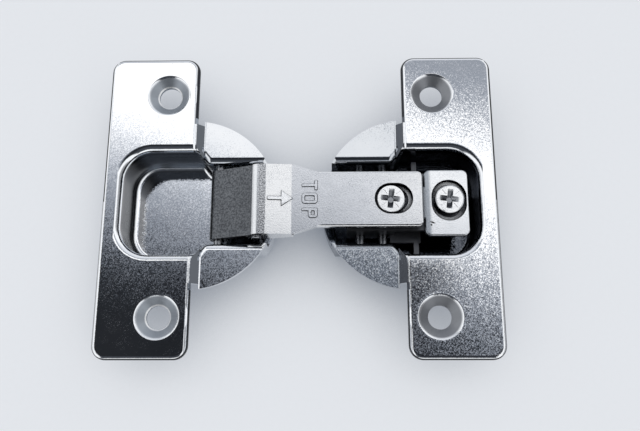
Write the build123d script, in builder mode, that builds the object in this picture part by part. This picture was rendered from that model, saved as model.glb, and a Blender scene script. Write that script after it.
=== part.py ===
from build123d import *
import math
import os

os.makedirs("parts", exist_ok=True)

# Driving dimensions, mm. X runs from the flap cup to the cabinet cup, Z is up, cup floors stand on Z = 0.
sheet = 1.1
cup_height = 11.6
cup_r = 17.4
front_half_gap = 4.4

# Small allowance for picking edges and for cuts that reach past a face
small = 0.05

# Flange plate of each cup
flange_length = 61.6
flange_margin = 3.5
flange_lap = 1.0
flange_corner_r = 2.7
flange_edge_r = 0.8

# Fixing holes with pressed dimples
hole_pitch = 45.5
hole_back = 5.2
hole_r = 2.3
hole_land = 0.6
dimple_r = 4.7
dimple_edge_r = 2.0
dimple_depth = 1.85
dimple_wall = 0.7

# Drawn pocket and the channel for the arm
pocket_half = 10.6
pocket_back = 3.6
pocket_front = 1.3
pocket_corner_r = 6.0
channel_half = 8.2
channel_front = 3.2
chamfer_r = 1.7
rim_r = 1.35
floor_r = 1.2
bottom_r = 1.8
lip_drop = 5.4

# Lowered wings and the sloping step that leads down to them
wing_drop = 1.4
wing_rim_r = 1.35
step_front = 2.3
step_run = 1.4
step_back = 1.9

# Pivots, places counted from the cup front and the flange top
flap_pivot_in = 11.9
flap_pivot_drop = 4.1
arm_pivot_in = 4.1
arm_pivot_drop = 1.7
pin_r = 1.0
pin_end = 0.25
running_fit = 0.05
press_fit = 0.02

# Swinging link
link_sheet = 1.1
link_side_gap = 1.1
link_eye_gap = 0.15
link_eye_r = 1.8
link_tip_lap = 0.5
link_tip_rise = 1.0
link_lug_gap = 0.35
leg_start_drop = 1.0
leg_start_slope = 0.4

# Arm
arm_sheet = 1.5
arm_top_rise = 1.4
arm_side_gap = 1.15
arm_bar_inset = 1.5
arm_end_gap = 0.45
arm_end_r = 1.0
arm_edge_r = 0.35
knuckle_rise = 1.95
knuckle_lap = 0.65
knuckle_run = 2.65
slope_run = 5.1
taper_run = 4.8
nose_run = 1.5
nose_drop = 0.6
nose_lip = 0.45
nose_under_rise = 0.15
lug_sheet = 1.1
lug_r = 1.9
lug_angle = 66.4
lug_run = 8.15
lug_right_drop = 1.2
lug_root_drop = 0.9

# Arm slot and clamp screw
shank_r = 2.0
shank_slot_half = 2.3
thread_gap = 0.02
clamp_screw_in = 6.2
clamp_head_r = 2.83
clamp_head_height = 0.95
arm_slot_left = 3.2
arm_slot_right = 4.3
arm_slot_half = 3.12
arm_slot_step_rise = 0.35

# Cross recess in both screw heads
head_chamfer = 0.25
cross_length = 4.0
cross_width = 1.1
cross_depth = 1.2
cross_tip_r = 0.55
cross_turn = -6.5
tick_length = 1.2
tick_width = 0.14
tick_depth = 0.12
tick_reach = 1.75

# Slide plate, T shaped
slide_gap = 0.05
slide_sheet = 1.1
slide_shift_y = -0.45
slide_neck_run = 5.0
slide_neck_half = 3.3
slide_head_back_gap = 2.3
slide_head_width = 8.65
slide_head_side_gap = 1.55
slide_head_r = 1.2
slide_edge_r = 0.25
slide_slot_x_half = 3.45
slide_slot_y_half = 4.17
slide_slot_depth = 0.8
slide_shank_y_half = 3.35
plate_screw_in = 3.8
plate_head_r = 2.8
plate_head_height = 1.8
plate_screw_end = 1.0

# Base bracket held in the cabinet cup by two cross pins
bracket_sheet = 1.2
bracket_side_gap = 2.4
bracket_front_run = 2.65
bracket_back_gap = 2.6
bracket_leg_inset = 1.8
cheek_sheet = 1.2
cheek_back_run = 2.1
cheek_drop = 8.4
base_pin_drop = 6.4
base_pin_front_in = 7.75
base_pin_rear_in = 12.4
foot_lap = 0.7
foot_run = 6.1
foot_side_gap = 0.85
foot_drop = 5.5
ear_inset = 0.4
ear_width = 1.0
ear_reach = 1.5

# Places along X worked out from the values above
cup_centre_x = cup_r + front_half_gap
front_x = -front_half_gap
pocket_outer_x = cup_centre_x + cup_r - pocket_back
pocket_inner_x = cup_centre_x - pocket_front
channel_start_x = cup_centre_x - channel_front
step_x = cup_centre_x - step_front
flange_outer_x = pocket_outer_x + flange_margin
flange_width = flange_outer_x - cup_centre_x + flange_lap
drawn_plate_outer_x = flange_outer_x - 2 * flange_edge_r
drawn_plate_front_x = front_half_gap
hole_x = cup_centre_x + hole_back
flap_pivot_x = -front_half_gap - flap_pivot_in
arm_pivot_x = -front_half_gap - arm_pivot_in
arm_left_x = arm_pivot_x - knuckle_lap
arm_inner_x = arm_left_x + nose_lip
link_tip_x = arm_pivot_x - link_tip_lap
arm_knuckle_x = arm_left_x + knuckle_run
arm_slope_end_x = arm_knuckle_x + slope_run
arm_taper_end_x = arm_slope_end_x + taper_run
lug_right_x = arm_left_x + lug_run
slide_head_right_x = pocket_outer_x - slide_head_back_gap
slide_head_left_x = slide_head_right_x - slide_head_width
plate_screw_x = slide_head_right_x - plate_screw_in
arm_right_x = slide_head_left_x - arm_end_gap
clamp_screw_x = arm_right_x - clamp_screw_in
arm_slot_left_x = clamp_screw_x - arm_slot_left
arm_slot_right_x = clamp_screw_x + arm_slot_right
slide_neck_left_x = clamp_screw_x - slide_neck_run
base_pin_front_x = front_half_gap + base_pin_front_in
base_pin_rear_x = front_half_gap + base_pin_rear_in
bracket_left_x = base_pin_front_x - bracket_front_run
bracket_right_x = pocket_outer_x - bracket_back_gap
cheek_right_x = base_pin_rear_x + cheek_back_run
foot_left_x = cheek_right_x - foot_lap
foot_right_x = foot_left_x + foot_run
ear_right_x = foot_right_x - ear_inset
ear_left_x = ear_right_x - ear_width

# Half widths worked out from the values above
step_half = cup_r - sheet
wall_half = channel_half + sheet
pin_half = wall_half + pin_end
link_half = channel_half - link_side_gap
arm_half = channel_half - arm_side_gap
arm_bar_half = arm_half - arm_bar_inset
lug_inner_half = arm_half - lug_sheet
link_eye_half = lug_inner_half - link_eye_gap
slide_head_half = channel_half - slide_head_side_gap
bracket_half = channel_half - bracket_side_gap
bracket_leg_half = bracket_half - bracket_leg_inset
foot_half = channel_half - foot_side_gap
ear_half = channel_half + ear_reach

# Heights worked out from the values above
top_z = cup_height
flange_under_z = top_z - sheet
wing_top_z = top_z - wing_drop
lip_z = top_z - lip_drop
flap_pivot_z = top_z - flap_pivot_drop
arm_pivot_z = top_z - arm_pivot_drop
base_pin_z = top_z - base_pin_drop
arm_top_z = top_z + arm_top_rise
arm_under_z = arm_top_z - arm_sheet
knuckle_top_z = top_z + knuckle_rise
link_tip_z = top_z + link_tip_rise
slide_top_z = arm_under_z - slide_gap
slide_under_z = slide_top_z - slide_sheet
bracket_top_z = slide_under_z - slide_gap
bracket_under_z = bracket_top_z - bracket_sheet
clamp_seat_z = top_z + arm_slot_step_rise + slide_gap
clamp_top_z = clamp_seat_z + clamp_head_height
plate_seat_z = slide_top_z - slide_slot_depth + slide_gap
plate_top_z = plate_seat_z + plate_head_height
foot_top_z = top_z - foot_drop


def drawn_cup(plate_top_z, plate_half, rolled_r):
    """The drawn pocket and channel hanging from a plate, with the rim rolled over."""
    plate_under_z = plate_top_z - sheet
    with BuildPart() as drawn:
        with BuildSketch(Plane.XY.offset(plate_under_z)):
            with Locations(((drawn_plate_front_x - drawn_plate_outer_x) / 2, 0)):
                Rectangle(drawn_plate_outer_x + drawn_plate_front_x, 2 * plate_half)
        extrude(amount=sheet)
        with BuildSketch() as outside:
            with BuildLine():
                Polyline(
                    (-pocket_outer_x - sheet, -pocket_half - sheet),
                    (-pocket_inner_x, -pocket_half - sheet),
                    (-pocket_inner_x, pocket_half + sheet),
                    (-pocket_outer_x - sheet, pocket_half + sheet),
                    close=True,
                )
            make_face()
            fillet(outside.vertices().group_by(Axis.X)[0], pocket_corner_r + sheet)
        extrude(amount=plate_under_z)
        with BuildSketch():
            with BuildLine():
                Polyline(
                    (-pocket_inner_x, -pocket_half - sheet),
                    (-channel_start_x, -wall_half),
                    (0, -wall_half),
                    (0, wall_half),
                    (-channel_start_x, wall_half),
                    (-pocket_inner_x, pocket_half + sheet),
                    close=True,
                )
            make_face()
            with Locations((-cup_centre_x, 0)):
                Circle(cup_r, mode=Mode.INTERSECT)
        extrude(amount=plate_under_z)
        fillet(drawn.faces().sort_by(Axis.Z)[0].outer_wire().edges(), bottom_r)
        with BuildSketch(Plane.XY.offset(sheet)) as inside:
            with BuildLine():
                Polyline(
                    (-pocket_outer_x, -pocket_half),
                    (-pocket_inner_x, -pocket_half),
                    (-channel_start_x, -channel_half),
                    (-cup_centre_x + cup_r / 2, -channel_half),
                    (-cup_centre_x + cup_r / 2, channel_half),
                    (-channel_start_x, channel_half),
                    (-pocket_inner_x, pocket_half),
                    (-pocket_outer_x, pocket_half),
                    close=True,
                )
            make_face()
            fillet(inside.vertices().group_by(Axis.X)[0], pocket_corner_r)
            bends = inside.vertices().filter_by_position(
                Axis.X, -pocket_inner_x - small, -channel_start_x + small
            )
            fillet(bends, chamfer_r)
            with Locations((-cup_centre_x + cup_r, 0)):
                Rectangle(1.5 * cup_r, 2 * channel_half)
            with Locations((-cup_centre_x, 0)):
                Circle(cup_r - sheet, mode=Mode.INTERSECT)
        extrude(amount=cup_height, mode=Mode.SUBTRACT)
        rim = drawn.edges().filter_by_position(Axis.Z, plate_top_z - small, plate_top_z + small)
        rim = rim.filter_by_position(Axis.Y, -pocket_half - small, pocket_half + small)
        rim = rim.filter_by_position(Axis.X, -pocket_outer_x - small, front_x)
        fillet(rim, rolled_r)
        floor = drawn.faces().filter_by_position(Axis.Z, sheet - small, sheet + small)
        fillet(floor.sort_by(Axis.X)[0].edges(), floor_r)
    return drawn.part


# Wings: the part of the pressing in front of the step, cut round to the bore
with BuildPart() as wings:
    add(drawn_cup(wing_top_z, cup_r + small, wing_rim_r))
    with BuildSketch():
        with Locations((-cup_centre_x, 0)):
            Circle(cup_r)
        with Locations((-step_x - cup_r, 0)):
            Rectangle(2 * cup_r, 3 * cup_r, mode=Mode.SUBTRACT)
    extrude(amount=cup_height, mode=Mode.INTERSECT)

# Pressing that both cups start from: flange, drawn pocket, sloping step, wings, fixing holes
with BuildPart() as cup_pressing:
    with BuildSketch(Plane.XY.offset(flange_under_z)):
        with Locations((-flange_outer_x + flange_width / 2, 0)):
            RectangleRounded(flange_width, flange_length, flange_corner_r)
    extrude(amount=sheet)
    fillet(cup_pressing.faces().sort_by(Axis.Z)[-1].edges(), flange_edge_r)
    with BuildSketch(Plane.XY.offset(flange_under_z)):
        with Locations((-drawn_plate_outer_x + cup_r + sheet, 0)):
            Rectangle(2 * cup_r, 2 * step_half - 2 * sheet)
    extrude(amount=sheet, mode=Mode.SUBTRACT)
    add(drawn_cup(top_z, step_half, rim_r))
    with BuildSketch(Plane.XY.offset(wing_top_z - sheet)):
        with Locations((-step_x - step_back / 2, 0)):
            Rectangle(step_back, 2 * step_half)
        with Locations((-step_x - step_back / 2, 0)):
            Rectangle(step_back, 2 * pocket_half + 2 * sheet, mode=Mode.SUBTRACT)
    extrude(amount=wing_drop)
    with BuildSketch(Plane.XZ):
        with BuildLine():
            Polyline(
                (-step_x - step_run, top_z),
                (-step_x, wing_top_z),
                (-step_x, -sheet),
                (cup_r, -sheet),
                (cup_r, top_z + sheet),
                (-step_x - step_run, top_z + sheet),
                close=True,
            )
        make_face()
    extrude(amount=cup_r, both=True, mode=Mode.SUBTRACT)
    add(wings.part)
    with BuildSketch(Plane.XY.offset(lip_z)):
        with Locations((front_x, 0)):
            Rectangle(cup_r, 2 * channel_half)
    extrude(amount=cup_height, mode=Mode.SUBTRACT)
    with Locations((-hole_x, hole_pitch / 2, top_z), (-hole_x, -hole_pitch / 2, top_z)):
        Cone(
            hole_r + dimple_wall,
            dimple_r + dimple_wall,
            dimple_depth + hole_land,
            align=(Align.CENTER, Align.CENTER, Align.MAX),
        )
        Cone(
            hole_r,
            dimple_r,
            dimple_depth,
            align=(Align.CENTER, Align.CENTER, Align.MAX),
            mode=Mode.SUBTRACT,
        )
        Cylinder(hole_r, 3 * dimple_depth, mode=Mode.SUBTRACT)
    circles = cup_pressing.edges().filter_by(GeomType.CIRCLE)
    mouths = circles.filter_by(lambda edge: abs(edge.radius - dimple_r) < small)
    fillet(mouths, dimple_edge_r)

# Flap cup: the pressing, bored for the pin of the link
with BuildPart() as flap_cup:
    add(cup_pressing.part)
    with Locations(Location((flap_pivot_x, 0, flap_pivot_z), (90, 0, 0))):
        Cylinder(pin_r + press_fit, 4 * wall_half, mode=Mode.SUBTRACT)
flap_cup.part.label = "flap_cup"
export_step(flap_cup.part, "parts/flap_cup.step")

# Cabinet cup: the same pressing turned round, bored for the two base pins
with BuildPart() as cabinet_cup:
    add(cup_pressing.part, rotation=(0, 0, 180))
    with Locations(
        Location((base_pin_front_x, 0, base_pin_z), (90, 0, 0)),
        Location((base_pin_rear_x, 0, base_pin_z), (90, 0, 0)),
    ):
        Cylinder(pin_r + press_fit, 4 * wall_half, mode=Mode.SUBTRACT)
cabinet_cup.part.label = "cabinet_cup"
export_step(cabinet_cup.part, "parts/cabinet_cup.step")

# Pin across the flap cup that carries the link
with BuildPart() as flap_pivot_pin:
    with Locations(Location((flap_pivot_x, 0, flap_pivot_z), (90, 0, 0))):
        Cylinder(pin_r, 2 * pin_half)
    chamfer(flap_pivot_pin.edges().filter_by(GeomType.CIRCLE), pin_end / 2)
flap_pivot_pin.part.label = "flap_pivot_pin"
export_step(flap_pivot_pin.part, "parts/flap_pivot_pin.step")

# Pin across the arm lugs
with BuildPart() as arm_pivot_pin:
    with Locations(Location((arm_pivot_x, 0, arm_pivot_z), (90, 0, 0))):
        Cylinder(pin_r, 2 * (arm_half + pin_end))
    chamfer(arm_pivot_pin.edges().filter_by(GeomType.CIRCLE), pin_end / 2)
arm_pivot_pin.part.label = "arm_pivot_pin"
export_step(arm_pivot_pin.part, "parts/arm_pivot_pin.step")

# Swinging link: a plate curled round the flap pin, bent down to an eye on the arm pin
tip_reach = math.hypot(link_tip_x - flap_pivot_x, link_tip_z - flap_pivot_z)
tip_angle = math.atan2(link_tip_z - flap_pivot_z, link_tip_x - flap_pivot_x)
slope = tip_angle - math.asin(link_eye_r / tip_reach)
plate_start_x = flap_pivot_x - link_eye_r * math.sin(slope)
plate_start_z = flap_pivot_z + link_eye_r * math.cos(slope)
under_x = link_sheet * math.sin(slope)
under_z = link_sheet * math.cos(slope)
leg_left_x = arm_pivot_x - link_eye_r
leg_right_x = leg_left_x + link_sheet
with BuildPart() as pivot_link:
    with BuildSketch(Plane.XZ):
        with BuildLine():
            Polyline(
                (plate_start_x, plate_start_z),
                (link_tip_x, link_tip_z),
                (link_tip_x, link_tip_z - under_z),
                (plate_start_x + under_x, plate_start_z - under_z),
                close=True,
            )
        make_face()
        with Locations((arm_pivot_x, arm_pivot_z)):
            Circle(lug_r + link_lug_gap, mode=Mode.SUBTRACT)
        with Locations((flap_pivot_x, flap_pivot_z)):
            Circle(link_eye_r)
    extrude(amount=link_half, both=True)
    with BuildSketch(Plane.XZ):
        with BuildLine():
            Polyline(
                (leg_left_x, link_tip_z - leg_start_drop),
                (leg_right_x, link_tip_z - leg_start_drop + leg_start_slope),
                (leg_right_x, arm_pivot_z),
                (leg_left_x, arm_pivot_z),
                close=True,
            )
        make_face()
        with Locations((arm_pivot_x, arm_pivot_z)):
            Circle(link_eye_r)
    extrude(amount=link_eye_half, both=True)
    with Locations(
        Location((flap_pivot_x, 0, flap_pivot_z), (90, 0, 0)),
        Location((arm_pivot_x, 0, arm_pivot_z), (90, 0, 0)),
    ):
        Cylinder(pin_r + running_fit, 4 * link_half, mode=Mode.SUBTRACT)
pivot_link.part.label = "pivot_link"
export_step(pivot_link.part, "parts/pivot_link.step")

# Arm: flat bar with a raised knuckle, two lugs bent down for the pin, and a stepped slot
lug_turn = math.radians(lug_angle)
nose_r = (nose_run ** 2 + nose_drop ** 2) / (2 * nose_drop)
nose_turn = math.asin(nose_run / nose_r) / 2
nose_end_x = arm_left_x + nose_run
nose_mid_x = nose_end_x - nose_r * math.sin(nose_turn)
nose_mid_z = knuckle_top_z - nose_r + nose_r * math.cos(nose_turn)
with BuildPart() as hinge_arm:
    with BuildSketch(Plane.XZ):
        with BuildLine():
            ThreePointArc(
                (arm_left_x, knuckle_top_z - nose_drop),
                (nose_mid_x, nose_mid_z),
                (nose_end_x, knuckle_top_z),
            )
            Polyline(
                (nose_end_x, knuckle_top_z),
                (arm_knuckle_x, knuckle_top_z),
                (arm_slope_end_x, arm_top_z),
                (arm_right_x, arm_top_z),
                (arm_right_x, arm_under_z),
                (arm_slope_end_x, arm_under_z),
                (arm_knuckle_x, knuckle_top_z - arm_sheet),
                (arm_inner_x, knuckle_top_z - arm_sheet + nose_under_rise),
                (arm_inner_x, knuckle_top_z - nose_drop),
                (arm_left_x, knuckle_top_z - nose_drop),
            )
        make_face()
    extrude(amount=arm_half, both=True)
    with BuildSketch(Plane.XY.offset(arm_under_z - sheet)):
        with BuildLine():
            Polyline(
                (arm_left_x - sheet, -arm_half),
                (arm_slope_end_x, -arm_half),
                (arm_taper_end_x, -arm_bar_half),
                (arm_right_x, -arm_bar_half),
                (arm_right_x, arm_bar_half),
                (arm_taper_end_x, arm_bar_half),
                (arm_slope_end_x, arm_half),
                (arm_left_x - sheet, arm_half),
                close=True,
            )
        make_face()
    extrude(amount=4 * arm_sheet, mode=Mode.INTERSECT)
    fillet(hinge_arm.edges().filter_by(Axis.Z).group_by(Axis.X)[-1], arm_end_r)
    bar_top = hinge_arm.edges().filter_by_position(Axis.Z, arm_top_z - small, arm_top_z + small)
    fillet(bar_top.filter_by_position(Axis.X, arm_taper_end_x + small, arm_right_x + small), arm_edge_r)
    with BuildSketch(Plane.XZ.offset(lug_inner_half)):
        with BuildLine():
            Polyline(
                (arm_inner_x, knuckle_top_z - lug_root_drop),
                (lug_right_x, arm_top_z - arm_sheet / 2),
                (lug_right_x, top_z - lug_right_drop),
                (arm_pivot_x + lug_r * math.cos(lug_turn), arm_pivot_z - lug_r * math.sin(lug_turn)),
                (arm_pivot_x, arm_pivot_z),
                (arm_inner_x, arm_pivot_z),
                close=True,
            )
        make_face()
        with Locations((arm_pivot_x, arm_pivot_z)):
            Circle(lug_r)
    extrude(amount=arm_half - lug_inner_half)
    mirror(about=Plane.XZ)
    with Locations(Location((arm_pivot_x, 0, arm_pivot_z), (90, 0, 0))):
        Cylinder(pin_r + press_fit, 4 * arm_half, mode=Mode.SUBTRACT)
    with BuildSketch(Plane.XY.offset(top_z + arm_slot_step_rise)):
        with Locations(((arm_slot_left_x + arm_slot_right_x) / 2, 0)):
            SlotOverall(arm_slot_right_x - arm_slot_left_x, 2 * arm_slot_half)
    extrude(amount=2 * arm_sheet, mode=Mode.SUBTRACT)
    with BuildSketch(Plane.XY.offset(arm_under_z - sheet)):
        with Locations(((arm_slot_left_x + arm_slot_right_x) / 2, 0)):
            SlotCenterToCenter(arm_slot_right_x - arm_slot_left_x - 2 * arm_slot_half, 2 * shank_slot_half)
    extrude(amount=4 * arm_sheet, mode=Mode.SUBTRACT)
hinge_arm.part.label = "hinge_arm"
export_step(hinge_arm.part, "parts/hinge_arm.step")

# Cross recess cut into both screw heads, deepest in the middle
with BuildPart() as cross_recess:
    with BuildSketch():
        Rectangle(cross_length, cross_width, rotation=cross_turn)
        Rectangle(cross_width, cross_length, rotation=cross_turn)
    extrude(amount=-cross_depth)
    Cone(
        cross_tip_r,
        cross_length / 2,
        cross_depth,
        align=(Align.CENTER, Align.CENTER, Align.MAX),
        mode=Mode.INTERSECT,
    )
    with BuildSketch():
        with PolarLocations(tick_reach, 4, start_angle=45 + cross_turn):
            Rectangle(tick_length, tick_width)
    extrude(amount=-tick_depth)

# Screw that clamps the arm on the slide plate
with BuildPart() as arm_clamp_screw:
    with Locations((clamp_screw_x, 0, clamp_seat_z)):
        Cylinder(clamp_head_r, clamp_head_height, align=(Align.CENTER, Align.CENTER, Align.MIN))
    chamfer(arm_clamp_screw.edges().group_by(Axis.Z)[-1], head_chamfer)
    with Locations((clamp_screw_x, 0, slide_under_z)):
        Cylinder(shank_r, clamp_seat_z - slide_under_z, align=(Align.CENTER, Align.CENTER, Align.MIN))
    with Locations((clamp_screw_x, 0, clamp_top_z)):
        add(cross_recess.part, mode=Mode.SUBTRACT)
arm_clamp_screw.part.label = "arm_clamp_screw"
export_step(arm_clamp_screw.part, "parts/arm_clamp_screw.step")

# Slide plate: T shaped, neck under the arm, stepped slot in its head
with BuildPart() as slide_plate:
    with BuildSketch(Plane.XY.offset(slide_under_z)):
        with Locations(((slide_head_left_x + slide_head_right_x) / 2, slide_shift_y)):
            RectangleRounded(slide_head_right_x - slide_head_left_x, 2 * slide_head_half, slide_head_r)
        with Locations(((slide_neck_left_x + slide_head_left_x + sheet) / 2, slide_shift_y)):
            Rectangle(slide_head_left_x + sheet - slide_neck_left_x, 2 * slide_neck_half)
    extrude(amount=slide_sheet)
    fillet(slide_plate.faces().sort_by(Axis.Z)[-1].edges(), slide_edge_r)
    with BuildSketch(Plane.XY.offset(slide_top_z - slide_slot_depth)):
        with Locations((plate_screw_x, 0)):
            SlotOverall(2 * slide_slot_y_half, 2 * slide_slot_x_half, rotation=90)
    extrude(amount=slide_sheet, mode=Mode.SUBTRACT)
    with BuildSketch(Plane.XY.offset(slide_under_z)):
        with Locations((plate_screw_x, 0)):
            SlotOverall(2 * slide_shank_y_half, 2 * shank_slot_half, rotation=90)
    extrude(amount=slide_sheet, mode=Mode.SUBTRACT)
    with Locations((clamp_screw_x, 0, slide_top_z)):
        Cylinder(shank_r + thread_gap, 4 * slide_sheet, mode=Mode.SUBTRACT)
slide_plate.part.label = "slide_plate"
export_step(slide_plate.part, "parts/slide_plate.step")

# Screw that clamps the slide plate on the base bracket
screw_end_z = bracket_under_z - plate_screw_end
with BuildPart() as plate_clamp_screw:
    with Locations((plate_screw_x, 0, plate_seat_z)):
        Cylinder(plate_head_r, plate_head_height, align=(Align.CENTER, Align.CENTER, Align.MIN))
    chamfer(plate_clamp_screw.edges().group_by(Axis.Z)[-1], head_chamfer)
    with Locations((plate_screw_x, 0, screw_end_z)):
        Cylinder(shank_r, plate_seat_z - screw_end_z, align=(Align.CENTER, Align.CENTER, Align.MIN))
    with Locations((plate_screw_x, 0, plate_top_z)):
        add(cross_recess.part, mode=Mode.SUBTRACT)
plate_clamp_screw.part.label = "plate_clamp_screw"
export_step(plate_clamp_screw.part, "parts/plate_clamp_screw.step")

# Base bracket: plate with cheeks on the base pins, a rear leg and a foot plate with two ears
with BuildPart() as base_bracket:
    with BuildSketch(Plane.XY.offset(bracket_under_z)):
        with Locations(((bracket_left_x + bracket_right_x) / 2, 0)):
            Rectangle(bracket_right_x - bracket_left_x, 2 * bracket_half)
    extrude(amount=bracket_sheet)
    with BuildSketch(Plane.XY.offset(top_z - cheek_drop)):
        with Locations(((bracket_left_x + cheek_right_x) / 2, bracket_half - cheek_sheet / 2)):
            Rectangle(cheek_right_x - bracket_left_x, cheek_sheet)
        with Locations(((bracket_left_x + cheek_right_x) / 2, -bracket_half + cheek_sheet / 2)):
            Rectangle(cheek_right_x - bracket_left_x, cheek_sheet)
    extrude(amount=bracket_under_z - top_z + cheek_drop)
    with BuildSketch(Plane.XY.offset(foot_top_z - bracket_sheet)):
        with Locations(((foot_left_x + foot_right_x) / 2, 0)):
            Rectangle(foot_right_x - foot_left_x, 2 * foot_half)
        with Locations(((ear_left_x + ear_right_x) / 2, 0)):
            Rectangle(ear_right_x - ear_left_x, 2 * ear_half)
    extrude(amount=bracket_sheet)
    with BuildSketch(Plane.XY.offset(sheet)):
        with Locations((bracket_right_x - bracket_sheet / 2, 0)):
            Rectangle(bracket_sheet, 2 * bracket_leg_half)
    extrude(amount=bracket_under_z - sheet)
    with Locations(
        Location((base_pin_front_x, 0, base_pin_z), (90, 0, 0)),
        Location((base_pin_rear_x, 0, base_pin_z), (90, 0, 0)),
    ):
        Cylinder(pin_r + press_fit, 4 * wall_half, mode=Mode.SUBTRACT)
    with Locations((plate_screw_x, 0, bracket_top_z)):
        Cylinder(shank_r + thread_gap, 4 * bracket_sheet, mode=Mode.SUBTRACT)
base_bracket.part.label = "base_bracket"
export_step(base_bracket.part, "parts/base_bracket.step")

# Two cross pins of the base bracket
with BuildPart() as base_pin_front:
    with Locations(Location((base_pin_front_x, 0, base_pin_z), (90, 0, 0))):
        Cylinder(pin_r, 2 * pin_half)
    chamfer(base_pin_front.edges().filter_by(GeomType.CIRCLE), pin_end / 2)
base_pin_front.part.label = "base_pin_front"
export_step(base_pin_front.part, "parts/base_pin_front.step")

with BuildPart() as base_pin_rear:
    with Locations(Location((base_pin_rear_x, 0, base_pin_z), (90, 0, 0))):
        Cylinder(pin_r, 2 * pin_half)
    chamfer(base_pin_rear.edges().filter_by(GeomType.CIRCLE), pin_end / 2)
base_pin_rear.part.label = "base_pin_rear"
export_step(base_pin_rear.part, "parts/base_pin_rear.step")
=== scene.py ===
import bpy
import math
from mathutils import Matrix, Vector


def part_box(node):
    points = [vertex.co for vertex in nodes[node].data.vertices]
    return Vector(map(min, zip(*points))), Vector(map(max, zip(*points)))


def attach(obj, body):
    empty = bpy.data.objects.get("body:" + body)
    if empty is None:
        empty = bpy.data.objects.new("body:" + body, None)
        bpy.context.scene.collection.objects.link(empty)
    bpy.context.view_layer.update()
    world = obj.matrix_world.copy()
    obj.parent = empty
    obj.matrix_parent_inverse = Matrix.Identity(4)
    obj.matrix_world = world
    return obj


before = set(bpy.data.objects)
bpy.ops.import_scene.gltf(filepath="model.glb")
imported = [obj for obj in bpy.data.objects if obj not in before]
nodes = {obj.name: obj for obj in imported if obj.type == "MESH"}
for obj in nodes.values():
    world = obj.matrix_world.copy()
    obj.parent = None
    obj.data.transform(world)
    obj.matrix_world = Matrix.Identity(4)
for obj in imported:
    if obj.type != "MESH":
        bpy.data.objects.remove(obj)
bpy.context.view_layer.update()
MM = 0.001

# Places shared with the solids, millimetres
FLANGE_TOP = 11.6
ARM_TOP = FLANGE_TOP + 1.4
KNUCKLE_TOP = FLANGE_TOP + 1.95
KNUCKLE_X = -6.5
SLOPE_END_X = -1.4
STEP_FOOT_X = 19.5
STEP_TOP_X = 20.9
HOLE_X = 27.0
HOLE_Y = 22.75
PAST_WING_Y = 17.6
POCKET_CENTRE_X = 24.0
POCKET_BACK_X = 36.0
POCKET_HALF_Y = 10.8
FLOOR_LEVEL = 1.05

# Tones of the metal's own marks and of painted shade and highlights, dark to bright
BLACK = (0.01, 0.011, 0.013)
SHEARED_AND_SHADE = (0.03, 0.032, 0.036)
DARK = (0.05, 0.053, 0.06)
SHADE = (0.09, 0.095, 0.105)
STEEL_SHADE = (0.12, 0.13, 0.15)
DUSK = (0.28, 0.29, 0.31)
GREY = (0.37, 0.4, 0.44)
BRIGHT = (0.97, 0.975, 0.98)

# Camera at the photograph's angle, image taken as 640 by 431
IMAGE_WIDTH = 640.0
FOCAL_PX = 700.0
DISTANCE = 137.04 * MM
TILT = math.radians(14.487)
YAW = math.radians(1.168)
ROLL = math.radians(0.037)
TARGET = Vector((4.14 * MM, -3.061 * MM, FLANGE_TOP * MM))


def add_camera():
    back = Vector((math.sin(YAW) * math.cos(TILT), -math.sin(TILT), math.cos(YAW) * math.cos(TILT)))
    back.normalize()
    right = Vector((0.0, 1.0, 0.0)).cross(back)
    right.normalize()
    up = back.cross(right)
    side = right * math.cos(ROLL) + up * math.sin(ROLL)
    top = up * math.cos(ROLL) - right * math.sin(ROLL)
    data = bpy.data.cameras.new("camera")
    data.sensor_fit = "HORIZONTAL"
    data.sensor_width = 36.0
    data.lens = FOCAL_PX / IMAGE_WIDTH * data.sensor_width
    data.clip_start = 0.005
    data.clip_end = 20.0
    camera = bpy.data.objects.new("camera", data)
    turn = Matrix((side, top, back)).transposed().to_4x4()
    camera.matrix_world = Matrix.Translation(TARGET + back * DISTANCE) @ turn
    bpy.context.scene.collection.objects.link(camera)
    bpy.context.scene.camera = camera


# Node helpers
def new_material(name):
    material = bpy.data.materials.new(name)
    material.use_nodes = True
    tree = material.node_tree
    shader = tree.nodes["Principled BSDF"]
    return material, tree, shader


def math_node(tree, operation, first, second=0.0):
    node = tree.nodes.new("ShaderNodeMath")
    node.operation = operation
    for socket, value in zip(node.inputs, (first, second)):
        if isinstance(value, float):
            socket.default_value = value
        else:
            tree.links.new(value, socket)
    return node.outputs["Value"]


def size_of(tree, value):
    return math_node(tree, "ABSOLUTE", value)


def over(tree, place, limit):
    return math_node(tree, "GREATER_THAN", place, limit * MM)


def under(tree, place, limit):
    return math_node(tree, "LESS_THAN", place, limit * MM)


def all_of(tree, *masks):
    result = masks[0]
    for mask in masks[1:]:
        result = math_node(tree, "MULTIPLY", result, mask)
    return result


def any_of(tree, *masks):
    result = masks[0]
    for mask in masks[1:]:
        result = math_node(tree, "MAXIMUM", result, mask)
    return result


def smooth_range(tree, source, start, end, low, high):
    node = tree.nodes.new("ShaderNodeMapRange")
    node.interpolation_type = "SMOOTHSTEP"
    node.inputs["From Min"].default_value = start
    node.inputs["From Max"].default_value = end
    node.inputs["To Min"].default_value = low
    node.inputs["To Max"].default_value = high
    tree.links.new(source, node.inputs["Value"])
    return node.outputs["Result"]


def rising(tree, source, start, end):
    return smooth_range(tree, source, start, end, 0.0, 1.0)


def falling(tree, source, start, end):
    return smooth_range(tree, source, start, end, 1.0, 0.0)


def split_axes(tree, output):
    place = tree.nodes.new("ShaderNodeTexCoord")
    split = tree.nodes.new("ShaderNodeSeparateXYZ")
    tree.links.new(place.outputs[output], split.inputs["Vector"])
    return split.outputs


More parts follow.
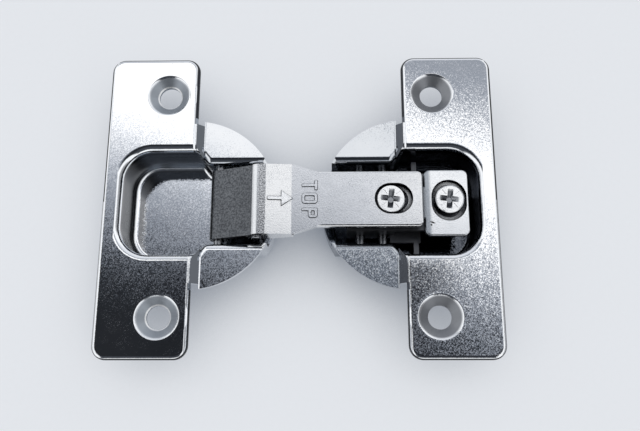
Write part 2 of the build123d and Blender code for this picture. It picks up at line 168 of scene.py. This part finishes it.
def add_noise(tree, scale, detail=4.0, roughness=0.55):
    place = tree.nodes.new("ShaderNodeTexCoord")
    noise = tree.nodes.new("ShaderNodeTexNoise")
    noise.inputs["Scale"].default_value = scale
    noise.inputs["Detail"].default_value = detail
    noise.inputs["Roughness"].default_value = roughness
    tree.links.new(place.outputs["Object"], noise.inputs["Vector"])
    return noise.outputs["Fac"]


def add_ramp(tree, source, stops):
    node = tree.nodes.new("ShaderNodeValToRGB")
    ramp = node.color_ramp
    ramp.elements[1].position = stops[-1][0]
    ramp.elements[1].color = (*stops[-1][1], 1.0)
    ramp.elements[0].position = stops[0][0]
    ramp.elements[0].color = (*stops[0][1], 1.0)
    for position, colour in stops[1:-1]:
        ramp.elements.new(position).color = (*colour, 1.0)
    tree.links.new(source, node.inputs["Fac"])
    return node.outputs["Color"]


def mix_colour(tree, factor, first, second):
    node = tree.nodes.new("ShaderNodeMix")
    node.data_type = "RGBA"
    colours = [socket for socket in node.inputs if socket.type == "RGBA"]
    tree.links.new(factor, node.inputs["Factor"])
    for socket, value in zip(colours, (first, second)):
        if isinstance(value, tuple):
            socket.default_value = (*value, 1.0)
        else:
            tree.links.new(value, socket)
    return [socket for socket in node.outputs if socket.type == "RGBA"][0]


def mix_vector(tree, factor, first, second):
    node = tree.nodes.new("ShaderNodeMix")
    node.data_type = "VECTOR"
    ends = [socket for socket in node.inputs if socket.identifier in ("A_Vector", "B_Vector")]
    tree.links.new(factor, node.inputs["Factor"])
    for socket, value in zip(ends, (first, second)):
        tree.links.new(value, socket)
    return [socket for socket in node.outputs if socket.type == "VECTOR"][0]


def vector_node(tree, operation, *values):
    node = tree.nodes.new("ShaderNodeVectorMath")
    node.operation = operation
    for socket, value in zip(node.inputs, values):
        if isinstance(value, tuple):
            socket.default_value = value
        else:
            tree.links.new(value, socket)
    return node.outputs["Vector"]


def add_bump(tree, source, strength, distance, normal=None):
    bump = tree.nodes.new("ShaderNodeBump")
    bump.inputs["Distance"].default_value = distance
    if isinstance(strength, float):
        bump.inputs["Strength"].default_value = strength
    else:
        tree.links.new(strength, bump.inputs["Strength"])
    tree.links.new(source, bump.inputs["Height"])
    if normal is not None:
        tree.links.new(normal, bump.inputs["Normal"])
    return bump.outputs["Normal"]


# Patches on any piece: each takes the colour so far and tones one region
def hollow_shade(reach, tone, start, end):
    """Painted shade deep in slots and corners."""
    def patch(tree, colour):
        node = tree.nodes.new("ShaderNodeAmbientOcclusion")
        node.samples = 8
        node.inputs["Distance"].default_value = reach * MM
        return mix_colour(tree, falling(tree, node.outputs["AO"], start, end), colour, tone)
    return patch


def strip_along(start, end, tone, soft=0.15, amount=1.0):
    """One tone on the stretch of a piece between two places along X."""
    def patch(tree, colour):
        along = split_axes(tree, "Object")["X"]
        into = rising(tree, along, (start - soft) * MM, (start + soft) * MM)
        out = falling(tree, along, (end - soft) * MM, (end + soft) * MM)
        share = math_node(tree, "MULTIPLY", all_of(tree, into, out), amount)
        return mix_colour(tree, share, colour, tone)
    return patch


def scar(x, y, lean, half_length, half_width, tone):
    """One nick or scratch on an upper face: a short line that leans from the Y direction."""
    def patch(tree, colour):
        place = split_axes(tree, "Object")
        along = math_node(tree, "SUBTRACT", place["Y"], y * MM)
        shift = math_node(tree, "MULTIPLY", along, lean)
        across = math_node(tree, "SUBTRACT", math_node(tree, "SUBTRACT", place["X"], x * MM), shift)
        thin = falling(tree, size_of(tree, across), 0.5 * half_width * MM, half_width * MM)
        short = falling(tree, size_of(tree, along), 0.6 * half_length * MM, half_length * MM)
        upward = rising(tree, split_axes(tree, "Normal")["Z"], 0.8, 0.9)
        return mix_colour(tree, all_of(tree, thin, short, upward), colour, tone)
    return patch


def below(level, tone, soft=0.3):
    """Painted shade below a level, as in a screw's cross recess."""
    def patch(tree, colour):
        height = split_axes(tree, "Object")["Z"]
        return mix_colour(tree, falling(tree, height, (level - soft) * MM, level * MM), colour, tone)
    return patch


def raised_edge_shade(tone):
    """Painted shade: a dark outline on the bevelled sides of a raised mark."""
    def patch(tree, colour):
        steep = falling(tree, split_axes(tree, "Normal")["Z"], 0.9, 0.99)
        return mix_colour(tree, steep, colour, tone)
    return patch


def folded_edge_light(tree, colour):
    """Painted highlight on the rounded long edges of the arm, with a painted shade line on the near one."""
    across = split_axes(tree, "Normal")["Y"]
    bright = rising(tree, size_of(tree, across), 0.25, 0.5)
    colour = mix_colour(tree, bright, colour, BRIGHT)
    dark = falling(tree, across, -0.35, -0.2)
    upper = rising(tree, across, -0.62, -0.5)
    return mix_colour(tree, all_of(tree, dark, upper), colour, BLACK)


def knuckle_band(tree):
    """Stretch of the arm where the bend has made the plating coarse."""
    along = split_axes(tree, "Object")["X"]
    near = rising(tree, along, -8.0 * MM, -7.6 * MM)
    away = falling(tree, along, -6.6 * MM, -6.3 * MM)
    return all_of(tree, near, away)


# Patches and relief of the two pressed cups
EDGE_X = 38.0
EDGE_Y = 30.0
INNER_EDGE_X = 22.6
EDGE_HEIGHT = (10.0 * MM, 10.4 * MM)
DIMPLE_HEIGHT = (10.9 * MM, 11.3 * MM)
WALL_HEIGHT = (8.6 * MM, 9.6 * MM)
WALL_SHARE = 0.6
POCKET_RIM = (9.6 * MM, 10.4 * MM)
INSIDE_RIM = (9.0 * MM, 10.2 * MM)
LIP_RADIUS = (2.45 * MM, 2.65 * MM)
MOUTH_RADIUS = (4.25 * MM, 4.45 * MM)
MOUTH_REACH = 6.0
STEP_LOW = 9.7
STEP_INNER_X = 17.5
STEP_OUTER_X = 21.8
TOP_ROLL = 0.7
FOOT_ROLL = 0.35
FOOT_SHARE = 0.45
ROLL_HEIGHT = 0.22
SHADE_START_Y = (-14.0 * MM, -10.0 * MM)
SHADE_FADE_Y = (-30.0 * MM, -18.0 * MM)
SHADE_FADE_SHARE = 0.35
SHADE_GRAIN = 3600.0
WING_BLEND = 4.0 * MM
FACET_BLEND = 6.0 * MM
FACET_SCALE = 6400.0


def cut_edge_and_shade(tree, colour):
    """Dark sheared edge round the outside of a flange plate, partly the cut metal's own tone and partly
    painted shade, wider above the middle line.
    """
    normal = split_axes(tree, "Normal")
    place = split_axes(tree, "Object")
    across = size_of(tree, place["X"])
    along = size_of(tree, place["Y"])
    narrow = falling(tree, normal["Z"], 0.66, 0.8)
    wide = falling(tree, normal["Z"], 0.84, 0.95)
    steep = any_of(tree, narrow, all_of(tree, wide, over(tree, place["Y"], 0.0)))
    high = rising(tree, place["Z"], *EDGE_HEIGHT)
    inner = all_of(tree, under(tree, across, INNER_EDGE_X), over(tree, along, PAST_WING_Y))
    rim = any_of(tree, over(tree, along, EDGE_Y), over(tree, across, EDGE_X), inner)
    return mix_colour(tree, all_of(tree, steep, high, rim), colour, SHEARED_AND_SHADE)


def dimple_mask(tree):
    place = split_axes(tree, "Object")
    past_wing = over(tree, size_of(tree, place["Y"]), PAST_WING_Y)
    return all_of(tree, past_wing, falling(tree, place["Z"], *DIMPLE_HEIGHT))


def satin_mask(tree):
    """Dimples and drawn walls, where the plating is less glossy."""
    steep = falling(tree, split_axes(tree, "Normal")["Z"], 0.88, 0.98)
    low = falling(tree, split_axes(tree, "Object")["Z"], *WALL_HEIGHT)
    walls = math_node(tree, "MULTIPLY", all_of(tree, steep, low), WALL_SHARE)
    return any_of(tree, dimple_mask(tree), walls)


def hole_distance(tree):
    """Distance from the axis of the nearest fixing hole."""
    place = split_axes(tree, "Object")
    across = math_node(tree, "SUBTRACT", size_of(tree, place["X"]), HOLE_X * MM)
    along = math_node(tree, "SUBTRACT", size_of(tree, place["Y"]), HOLE_Y * MM)
    square = math_node(tree, "ADD", all_of(tree, across, across), all_of(tree, along, along))
    return math_node(tree, "SQRT", square)


def dimples(tone, lip):
    """Painted shade in the pressed screw dimples, and a second painted tone on the lip of the hole."""
    def patch(tree, colour):
        ring = falling(tree, hole_distance(tree), *LIP_RADIUS)
        upward = rising(tree, split_axes(tree, "Normal")["Z"], 0.3, 0.6)
        colour = mix_colour(tree, dimple_mask(tree), colour, tone)
        return mix_colour(tree, all_of(tree, ring, upward), colour, lip)
    return patch


def pocket_wall_shade(centre_x, end_tone, side_tone):
    """Painted shade on the walls of the drawn pocket, end walls apart from side walls."""
    def patch(tree, colour):
        normal = split_axes(tree, "Normal")
        place = split_axes(tree, "Object")
        from_centre = math_node(tree, "SUBTRACT", place["X"], centre_x * MM)
        endward = all_of(tree, normal["X"], from_centre)
        sideward = all_of(tree, normal["Y"], place["Y"])
        inside = under(tree, math_node(tree, "ADD", endward, sideward), 0.0)
        steep = falling(tree, normal["Z"], 0.55, 0.85)
        low = falling(tree, place["Z"], *POCKET_RIM)
        endways = rising(tree, size_of(tree, normal["X"]), 0.3, 0.7)
        tone = mix_colour(tree, endways, side_tone, end_tone)
        return mix_colour(tree, all_of(tree, inside, steep, low), colour, tone)
    return patch


def pocket_inside_shade(tone):
    """Painted shade on everything inside a pocket, from the floor up to the rim."""
    def patch(tree, colour):
        place = split_axes(tree, "Object")
        within_y = under(tree, size_of(tree, place["Y"]), POCKET_HALF_Y)
        within_x = under(tree, size_of(tree, place["X"]), POCKET_BACK_X)
        from_floor = over(tree, place["Z"], FLOOR_LEVEL)
        to_rim = falling(tree, place["Z"], *INSIDE_RIM)
        return mix_colour(tree, all_of(tree, within_y, within_x, from_floor, to_rim), colour, tone)
    return patch


def step_shade(tone):
    """Painted shade on the slope between flange and wings."""
    def patch(tree, colour):
        place = split_axes(tree, "Object")
        across = size_of(tree, place["X"])
        sloping = rising(tree, size_of(tree, split_axes(tree, "Normal")["X"]), 0.3, 0.5)
        between = all_of(tree, over(tree, across, STEP_INNER_X), under(tree, across, STEP_OUTER_X))
        high = over(tree, place["Z"], STEP_LOW)
        inside = under(tree, size_of(tree, place["Y"]), PAST_WING_Y)
        return mix_colour(tree, all_of(tree, sloping, between, high, inside), colour, tone)
    return patch


def inner_shade(inner, outer, tone, amount):
    """Painted shade on a lower flange, most at its inner edge and none from the outer place."""
    def patch(tree, colour):
        place = split_axes(tree, "Object")
        fade = smooth_range(tree, size_of(tree, place["X"]), inner * MM, outer * MM, amount, 0.0)
        lower = falling(tree, place["Y"], *SHADE_START_Y)
        towards_end = smooth_range(tree, place["Y"], *SHADE_FADE_Y, SHADE_FADE_SHARE, 1.0)
        level = rising(tree, split_axes(tree, "Normal")["Z"], 0.9, 0.98)
        high = rising(tree, place["Z"], *DIMPLE_HEIGHT)
        pepper = smooth_range(tree, add_noise(tree, SHADE_GRAIN, 2.0), 0.42, 0.58, 1.0, 0.5)
        share = all_of(tree, fade, lower, towards_end, level, high, pepper)
        return mix_colour(tree, share, colour, tone)
    return patch


def wings(start, end, tone, lower, upper):
    """Painted shade on a cup's wings, by one share below the middle line and another above."""
    def patch(tree, colour):
        place = split_axes(tree, "Object")
        between = all_of(tree, over(tree, place["X"], start), under(tree, place["X"], end))
        share = smooth_range(tree, place["Y"], -WING_BLEND, WING_BLEND, lower, upper)
        return mix_colour(tree, all_of(tree, between, share), colour, tone)
    return patch


def flat_mouths(tree):
    """Normal kept level on the outer part of the dimples' rounded mouths, so that they look narrower."""
    distance = hole_distance(tree)
    outer = rising(tree, distance, *MOUTH_RADIUS)
    near = under(tree, distance, MOUTH_REACH)
    upward = rising(tree, split_axes(tree, "Normal")["Z"], 0.5, 0.6)
    level = tree.nodes.new("ShaderNodeVectorTransform")
    level.vector_type = "NORMAL"
    level.convert_from = "OBJECT"
    level.convert_to = "WORLD"
    level.inputs["Vector"].default_value = (0.0, 0.0, 1.0)
    surface = tree.nodes.new("ShaderNodeNewGeometry")
    share = all_of(tree, outer, near, upward)
    return mix_vector(tree, share, surface.outputs["Normal"], level.outputs["Vector"])


def rolled_steps(tree, normal):
    """Soft rolls at the top and the foot of the step."""
    place = split_axes(tree, "Object")
    across = size_of(tree, place["X"])
    top = rising(tree, across, STEP_TOP_X * MM, (STEP_TOP_X + TOP_ROLL) * MM)
    foot_start = (STEP_FOOT_X - FOOT_ROLL) * MM
    foot = smooth_range(tree, across, foot_start, STEP_FOOT_X * MM, 0.0, FOOT_SHARE)
    height = math_node(tree, "ADD", top, foot)
    return add_bump(tree, height, over(tree, place["Z"], STEP_LOW), ROLL_HEIGHT * MM, normal)


def add_facets(tree, lower, upper, normal):
    """Tiny crystal facets of the plating, with one reach of lean below the middle line and another above."""
    place = tree.nodes.new("ShaderNodeTexCoord")
    cells = tree.nodes.new("ShaderNodeTexVoronoi")
    cells.inputs["Scale"].default_value = FACET_SCALE
    tree.links.new(place.outputs["Object"], cells.inputs["Vector"])
    ways = vector_node(tree, "SUBTRACT", cells.outputs["Color"], (0.5, 0.5, 0.5))
    along = split_axes(tree, "Object")["Y"]
    reach = smooth_range(tree, along, -FACET_BLEND, FACET_BLEND, lower, upper)
    leaning = vector_node(tree, "MULTIPLY_ADD", ways, reach, normal)
    return vector_node(tree, "NORMALIZE", leaning)


# Plated pressed steel
CLOUD_SCALE = 260.0
PEPPER_SCALE = 4200.0
PEPPER = (0.54, 0.66)
PATCH_SCALE = 350.0
SATIN_ROUGH = 0.42
WAVE_SCALE = 420.0
WAVE_HEIGHT = 0.2
GRAIN_HEIGHT = 0.04


def add_pits(tree, speckle, strength, speck, band):
    """Share of dark pits and strength of the grain, both greater in a coarse band."""
    pits = smooth_range(tree, speckle, 0.35, 0.65, speck, 0.0)
    if band is None:
        return pits, strength
    reach = band(tree)
    deep = smooth_range(tree, speckle, 0.38, 0.62, 0.7, 0.0)
    pits = any_of(tree, pits, all_of(tree, reach, deep))
    return pits, smooth_range(tree, reach, 0.0, 1.0, strength, 1.0)


def add_gloss(tree, polished, peppered):
    """Roughness of the plating: polished, with patches of peppered grain."""
    fine = add_noise(tree, PEPPER_SCALE, 2.0, 0.5)
    patchy = smooth_range(tree, add_noise(tree, PATCH_SCALE, 2.0), 0.35, 0.65, 0.25, 1.0)
    spots = all_of(tree, rising(tree, fine, *PEPPER), patchy)
    return smooth_range(tree, spots, 0.0, 1.0, polished, peppered)


def plated(name, dark, light, gloss, grain, patches=(), speck=0.0, band=None, wave=0.0, facets=None):
    """Plated steel with cloudy tone, grainy gloss and patches of other tones. Facets mark a pressed cup,
    which also has satin dimples and walls, level mouths, orange peel and rolled steps.
    """
    material, tree, shader = new_material(name)
    shader.inputs["Metallic"].default_value = 1.0
    colour = add_ramp(tree, add_noise(tree, CLOUD_SCALE, 3.0), ((0.3, dark), (0.7, light)))
    for patch in patches:
        colour = patch(tree, colour)
    grain_scale, grain_strength = grain
    speckle = add_noise(tree, grain_scale, 2.0, 0.6)
    pits, strength = add_pits(tree, speckle, grain_strength, speck, band)
    rough = add_gloss(tree, *gloss)
    normal = None
    if facets is not None:
        satin = math_node(tree, "MULTIPLY", satin_mask(tree), SATIN_ROUGH)
        rough = any_of(tree, rough, satin)
        peel = add_noise(tree, WAVE_SCALE, 2.0)
        normal = add_bump(tree, peel, wave, WAVE_HEIGHT * MM, flat_mouths(tree))
        normal = rolled_steps(tree, normal)
    normal = add_bump(tree, speckle, strength, GRAIN_HEIGHT * MM, normal)
    if facets is not None:
        normal = add_facets(tree, *facets, normal)
    tree.links.new(mix_colour(tree, pits, colour, DARK), shader.inputs["Base Color"])
    tree.links.new(rough, shader.inputs["Roughness"])
    tree.links.new(normal, shader.inputs["Normal"])
    return material


# Materials of the pieces
CROSS_LIP = 0.05
WING_FOOT_X = STEP_FOOT_X - 0.1
SHADE_INNER_X = 22.0


def top_of(name):
    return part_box(name)[1][2] / MM


def screw_zinc(name, node):
    """Bright zinc with painted shade in the cross recess below the head's top."""
    head_top = top_of(node)
    return plated(
        name, dark=(0.86, 0.87, 0.89), light=(0.93, 0.94, 0.95), gloss=(0.18, 0.3), grain=(5000.0, 0.25),
        patches=(below(head_top - CROSS_LIP, DUSK),),
    )


MATERIALS = {
    "flap_cup": plated(
        "flap_cup_nickel", dark=(0.86, 0.88, 0.91), light=(0.93, 0.94, 0.96), gloss=(0.02, 0.18),
        grain=(2600.0, 0.04), wave=0.012, facets=(0.05, 0.03),
        patches=(
            hollow_shade(1.2, DARK, 0.05, 0.35),
            pocket_wall_shade(-POCKET_CENTRE_X, DARK, GREY),
            dimples(GREY, BRIGHT),
            step_shade(GREY),
            wings(-WING_FOOT_X, 0.0, GREY, 0.0, 0.36),
            inner_shade(SHADE_INNER_X, 34.0, DUSK, 0.7),
            scar(-18.54, -16.25, -0.455, 0.85, 0.14, DARK),
            cut_edge_and_shade,
        ),
    ),
    "cabinet_cup": plated(
        "cabinet_cup_nickel", dark=(0.85, 0.87, 0.9), light=(0.93, 0.94, 0.96), gloss=(0.03, 0.16),
        grain=(2600.0, 0.08), wave=0.015, facets=(0.08, 0.045),
        patches=(
            hollow_shade(9.0, SHADE, 0.3, 0.74),
            pocket_inside_shade(STEEL_SHADE),
            dimples(DUSK, DUSK),
            step_shade(STEEL_SHADE),
            wings(0.0, WING_FOOT_X, GREY, 0.8, 0.55),
            inner_shade(SHADE_INNER_X, 35.0, DARK, 0.95),
            cut_edge_and_shade,
        ),
    ),
    "hinge_arm": plated(
        "arm_satin", dark=(0.68, 0.7, 0.74), light=(0.76, 0.78, 0.82), gloss=(0.2, 0.34),
        grain=(4200.0, 0.3), speck=0.12, band=knuckle_band,
        patches=(
            # Painted highlights: bright stretches on the arm's right end, its slope and its knuckle
            strip_along(18.0, 60.0, BRIGHT, 8.0, 0.6),
            strip_along(KNUCKLE_X, SLOPE_END_X, BRIGHT, amount=0.8),
            strip_along(-14.0, KNUCKLE_X, BRIGHT, amount=0.45),
            folded_edge_light,
            hollow_shade(1.6, BLACK, 0.5, 0.9),
        ),
    ),
    "arrow_mark": plated(
        "arrow_mark_satin", dark=(0.86, 0.875, 0.9), light=(0.92, 0.93, 0.95), gloss=(0.2, 0.34),
        grain=(4200.0, 0.3), patches=(raised_edge_shade(DARK),),
    ),
    "word_marks": plated(
        "word_marks_satin", dark=(0.7, 0.72, 0.76), light=(0.78, 0.8, 0.84), gloss=(0.2, 0.34),
        grain=(4200.0, 0.3), patches=(raised_edge_shade(DARK),),
    ),
    "slide_plate": plated(
        "slide_satin", dark=(0.84, 0.86, 0.89), light=(0.9, 0.915, 0.94), gloss=(0.16, 0.3),
        grain=(4200.0, 0.3), speck=0.12,
        patches=(
            # Painted shade: a grey band along the plate's left part
            strip_along(20.0, 25.8, GREY, 0.4),
            scar(26.1, -4.5, -1.5, 0.26, 0.4, BLACK),
            scar(25.85, -5.0, 0.0, 0.22, 0.2, BLACK),
            hollow_shade(1.6, BLACK, 0.5, 0.9),
        ),
    ),
    # Rough metal whose dark base colour is painted shade, as it sits deep in the pocket
    "base_bracket": plated(
        "bracket_dull_painted_shade", dark=(0.12, 0.125, 0.135), light=(0.18, 0.185, 0.2), gloss=(0.4, 0.55),
        grain=(4200.0, 0.25), patches=(hollow_shade(4.0, DARK, 0.1, 0.5),),
    ),
    # Satin metal whose dark base colour is partly painted shade between arm and cup
    "pivot_link": plated(
        "link_dark_satin_shade", dark=(0.13, 0.138, 0.15), light=(0.17, 0.18, 0.195), gloss=(0.3, 0.5),
        grain=(2800.0, 0.8), speck=0.8, patches=(hollow_shade(1.6, BLACK, 0.2, 0.6),),
    ),
    "pins": plated(
        "pin_steel", dark=(0.3, 0.31, 0.33), light=(0.4, 0.41, 0.43), gloss=(0.25, 0.4),
        grain=(5000.0, 0.2), patches=(hollow_shade(3.0, BLACK, 0.2, 0.7),),
    ),
    "arm_screw": screw_zinc("arm_screw_zinc", "arm_clamp_screw"),
    "plate_screw": screw_zinc("plate_screw_zinc", "plate_clamp_screw"),
}

NODE_MATERIALS = {
    "flap_cup": "flap_cup",
    "cabinet_cup": "cabinet_cup",
    "hinge_arm": "hinge_arm",
    "slide_plate": "slide_plate",
    "base_bracket": "base_bracket",
    "pivot_link": "pivot_link",
    "flap_pivot_pin": "pins",
    "arm_pivot_pin": "pins",
    "base_pin_front": "pins",
    "base_pin_rear": "pins",
    "arm_clamp_screw": "arm_screw",
    "plate_clamp_screw": "plate_screw",
}


def dress_nodes():
    for name, key in NODE_MATERIALS.items():
        mesh = nodes[name].data
        if not mesh.materials:
            mesh.materials.append(MATERIALS[key])
        for index in range(len(mesh.materials)):
            mesh.materials[index] = MATERIALS[key]


# Raised marks pressed into the arm: an arrow on the slope and the word TOP on the flat
MARK_SINK = 0.06
MARK_BEVEL = 0.09
ARROW_RISE = 0.2
ARROW_START_X = -6.1
ARROW_Y = 0.05
ARROW_LENGTH = 4.95
HEAD_START = 2.7
HEAD_HALF = 1.6
SHAFT_HALF = 0.36
WORD_RISE = 0.18
WORD_X = 0.62
WORD_HEIGHT = 3.05
STROKE = 0.56
T_WIDTH = 2.02
T_STEM = 0.76
T_TOP_Y = 3.74
O_WIDTH = 2.12
O_OUTER_R = 0.55
O_INNER_R = 0.25
O_TOP_Y = 1.11
P_WIDTH = 1.95
P_BOWL_LOW = 1.25
P_OUTER_R = 0.5
P_INNER_R = 0.2
P_TOP_Y = -1.92


def rounded_box(left, low, right, high, radius, steps=6):
    corners = ((right, low, -90), (right, high, 0), (left, high, 90), (left, low, 180))
    points = []
    for x, y, start in corners:
        centre_x = x - radius if x == right else x + radius
        centre_y = y - radius if y == high else y + radius
        for step in range(steps + 1):
            angle = math.radians(start + 90.0 * step / steps)
            points.append((centre_x + radius * math.cos(angle), centre_y + radius * math.sin(angle)))
    return points


def add_mark(name, loops, matrix, rise, material):
    curve = bpy.data.curves.new(name, "CURVE")
    curve.dimensions = "2D"
    curve.fill_mode = "BOTH"
    thick = (rise + MARK_SINK) / 2.0
    curve.extrude = (thick - MARK_BEVEL) * MM
    curve.bevel_depth = MARK_BEVEL * MM
    curve.bevel_resolution = 2
    curve.offset = -MARK_BEVEL * MM
    for loop in loops:
        spline = curve.splines.new("POLY")
        spline.points.add(len(loop) - 1)
        for point, (x, y) in zip(spline.points, loop):
            point.co = (x * MM, y * MM, 0.0, 1.0)
        spline.use_cyclic_u = True
    piece = bpy.data.objects.new(name, curve)
    lift = Matrix.Translation((0.0, 0.0, (rise - MARK_SINK) / 2.0 * MM))
    piece.matrix_world = matrix @ lift
    curve.materials.append(MATERIALS[material])
    bpy.context.scene.collection.objects.link(piece)
    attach(piece, "arm")


def add_arrow():
    fall = math.atan2(KNUCKLE_TOP - ARM_TOP, SLOPE_END_X - KNUCKLE_X)
    loop = [
        (0.0, -SHAFT_HALF), (HEAD_START, -SHAFT_HALF), (HEAD_START, -HEAD_HALF), (ARROW_LENGTH, 0.0),
        (HEAD_START, HEAD_HALF), (HEAD_START, SHAFT_HALF), (0.0, SHAFT_HALF),
    ]
    start_z = KNUCKLE_TOP - (ARROW_START_X - KNUCKLE_X) * math.tan(fall)
    start = Matrix.Translation((ARROW_START_X * MM, ARROW_Y * MM, start_z * MM))
    add_mark("arrow", [loop], start @ Matrix.Rotation(fall, 4, "Y"), ARROW_RISE, "arrow_mark")


def letter_t():
    stem_end = T_STEM + STROKE
    bar_low = WORD_HEIGHT - STROKE
    return [[
        (T_STEM, 0.0), (stem_end, 0.0), (stem_end, bar_low), (T_WIDTH, bar_low),
        (T_WIDTH, WORD_HEIGHT), (0.0, WORD_HEIGHT), (0.0, bar_low), (T_STEM, bar_low),
    ]]


def letter_o():
    return [
        rounded_box(0.0, 0.0, O_WIDTH, WORD_HEIGHT, O_OUTER_R),
        rounded_box(STROKE, STROKE, O_WIDTH - STROKE, WORD_HEIGHT - STROKE, O_INNER_R),
    ]


def letter_p():
    bowl = rounded_box(0.0, P_BOWL_LOW, P_WIDTH, WORD_HEIGHT, P_OUTER_R)
    right_half = [point for point in bowl if point[0] > STROKE]
    return [
        [(0.0, 0.0), (STROKE, 0.0), (STROKE, P_BOWL_LOW)] + right_half + [(0.0, WORD_HEIGHT)],
        rounded_box(STROKE, P_BOWL_LOW + STROKE, P_WIDTH - STROKE, WORD_HEIGHT - STROKE, P_INNER_R),
    ]


def add_word():
    turn = Matrix.Rotation(math.radians(-90.0), 4, "Z")
    letters = (
        ("letter_t", letter_t(), T_TOP_Y),
        ("letter_o", letter_o(), O_TOP_Y),
        ("letter_p", letter_p(), P_TOP_Y),
    )
    for name, loops, top_y in letters:
        corner = Matrix.Translation((WORD_X * MM, top_y * MM, ARM_TOP * MM))
        add_mark(name, loops, corner @ turn, WORD_RISE, "word_marks")


# Floor: pale paper that keeps a faint shadow, with a painted shadow in its pale glow near the object
FLOOR_HALF = 1.5
FLOOR_WEAVE = 900.0
FLOOR_TONES = ((0.3, (0.8, 0.825, 0.865)), (0.7, (0.83, 0.855, 0.895)))
FLOOR_PALE = (0.88, 0.905, 0.945)
FLOOR_PAINTED_SHADOW = (0.18, 0.21, 0.26)
FLOOR_SHARE = 0.7
SHADOW_REACH = 30.0 * MM
SHADOW_RANGE = (0.1, 0.95)


def add_floor():
    mesh = bpy.data.meshes.new("floor")
    half = FLOOR_HALF
    corners = [(-half, -half, 0), (half, -half, 0), (half, half, 0), (-half, half, 0)]
    mesh.from_pydata(corners, [], [(0, 1, 2, 3)])
    floor = bpy.data.objects.new("floor", mesh)
    bpy.context.scene.collection.objects.link(floor)
    material, tree, shader = new_material("floor_paper")
    tone = add_ramp(tree, add_noise(tree, FLOOR_WEAVE), FLOOR_TONES)
    tree.links.new(tone, shader.inputs["Base Color"])
    shader.inputs["Roughness"].default_value = 0.8
    shader.inputs["Specular IOR Level"].default_value = 0.1
    glow = tree.nodes.new("ShaderNodeEmission")
    # Painted shadow: ambient occlusion darkens the floor's glow near the object
    painted_shadow_ao = tree.nodes.new("ShaderNodeAmbientOcclusion")
    painted_shadow_ao.samples = 16
    painted_shadow_ao.inputs["Distance"].default_value = SHADOW_REACH
    unshadowed = rising(tree, painted_shadow_ao.outputs["AO"], *SHADOW_RANGE)
    tree.links.new(mix_colour(tree, unshadowed, FLOOR_PAINTED_SHADOW, FLOOR_PALE), glow.inputs["Color"])
    path = tree.nodes.new("ShaderNodeLightPath")
    rays = ("Is Camera Ray", "Is Glossy Ray", "Is Transmission Ray")
    seen = any_of(tree, *[path.outputs[ray] for ray in rays])
    share = math_node(tree, "MULTIPLY", seen, FLOOR_SHARE)
    blend = tree.nodes.new("ShaderNodeMixShader")
    tree.links.new(share, blend.inputs["Fac"])
    tree.links.new(shader.outputs["BSDF"], blend.inputs[1])
    tree.links.new(glow.outputs["Emission"], blend.inputs[2])
    tree.links.new(blend.outputs["Shader"], tree.nodes["Material Output"].inputs["Surface"])
    mesh.materials.append(material)


# World: a bright band behind, dim overhead and in front, pale sides, and a pale patch at the front end
BAND_TILT = 0.28
BAND_PEAK = 0.95
BAND_STOPS = (
    (-1.0, 0.06),
    (-0.5, 0.05),
    (-0.2, 0.02),
    (0.05, 0.018),
    (0.08, 0.033),
    (0.105, 0.08),
    (0.15, 0.21),
    (0.2, 0.31),
    (0.25, 0.6),
    (0.29, BAND_PEAK),
    (0.4, BAND_PEAK),
    (0.44, 0.38),
    (0.48, 0.28),
    (0.55, 0.3),
    (0.7, 0.6),
    (1.0, 0.7),
)
COOL_SHIFT = (-0.18, -0.09, 0.08)
SIDE_SHIFT = 0.06
SIDE_RANGE = (0.36, 0.56)
SIDE_TONE = (0.8, 0.81, 0.82)
FAR_RANGE = (0.8, 0.98)
FAR_TONE = (0.25, 0.255, 0.265)
FRONT_RANGE = (-0.95, -0.82)
FRONT_TONE = (0.85, 0.86, 0.87)
WORLD_LEVEL = 1.3


def cool(level):
    """Bluish where the band is dim, neutral where it is brightest."""
    dimness = 1.0 - level / BAND_PEAK
    return tuple(level * (1.0 + dimness * shift) for shift in COOL_SHIFT)


def add_world():
    world = bpy.data.worlds.new("room")
    bpy.context.scene.world = world
    world.use_nodes = True
    tree = world.node_tree
    background = tree.nodes["Background"]
    way = split_axes(tree, "Generated")
    height = math_node(tree, "ADD", way["Y"], math_node(tree, "MULTIPLY", way["X"], BAND_TILT))
    spot = math_node(tree, "ADD", math_node(tree, "MULTIPLY", height, 0.5), 0.5)
    stops = [((reach + 1.0) / 2.0, cool(level)) for reach, level in BAND_STOPS]
    colour = add_ramp(tree, spot, stops)
    side = size_of(tree, math_node(tree, "ADD", way["X"], SIDE_SHIFT))
    colour = mix_colour(tree, rising(tree, side, *SIDE_RANGE), colour, SIDE_TONE)
    colour = mix_colour(tree, rising(tree, side, *FAR_RANGE), colour, FAR_TONE)
    colour = mix_colour(tree, falling(tree, way["Y"], *FRONT_RANGE), colour, FRONT_TONE)
    tree.links.new(colour, background.inputs["Color"])
    background.inputs["Strength"].default_value = WORLD_LEVEL


add_camera()
dress_nodes()
add_arrow()
add_word()
add_floor()
add_world()

scene = bpy.context.scene
scene.view_settings.view_transform = "Standard"
